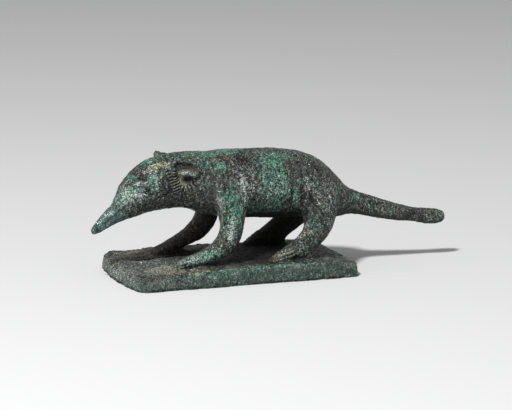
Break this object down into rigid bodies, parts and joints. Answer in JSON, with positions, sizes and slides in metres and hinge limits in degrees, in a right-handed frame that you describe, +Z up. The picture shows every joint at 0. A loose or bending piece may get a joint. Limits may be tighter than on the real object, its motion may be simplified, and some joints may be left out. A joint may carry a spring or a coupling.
{
  "type": "shrew figure",
  "caption": "Cast bronze figure of a shrew walking low on a thin rectangular plinth, with a long snout, cup ears and a thick straight tail, under a mottled green patina.",
  "frame": {"origin": "centre of the plinth's rectangular underside", "axes": "+X from the snout to the tail, along the animal; +Y to the animal's right; +Z up, from the plinth to the back"},
  "size_m": [0.0926, 0.0336, 0.0305],
  "materials": {
    "patinated_bronze": "old bronze, dark brown to black under a mottled malachite green and teal patina, finely pitted, half gloss"
  },
  "bodies": {
    "root": {"shrew_figure": "patinated_bronze"}
  },
  "joints": []
}
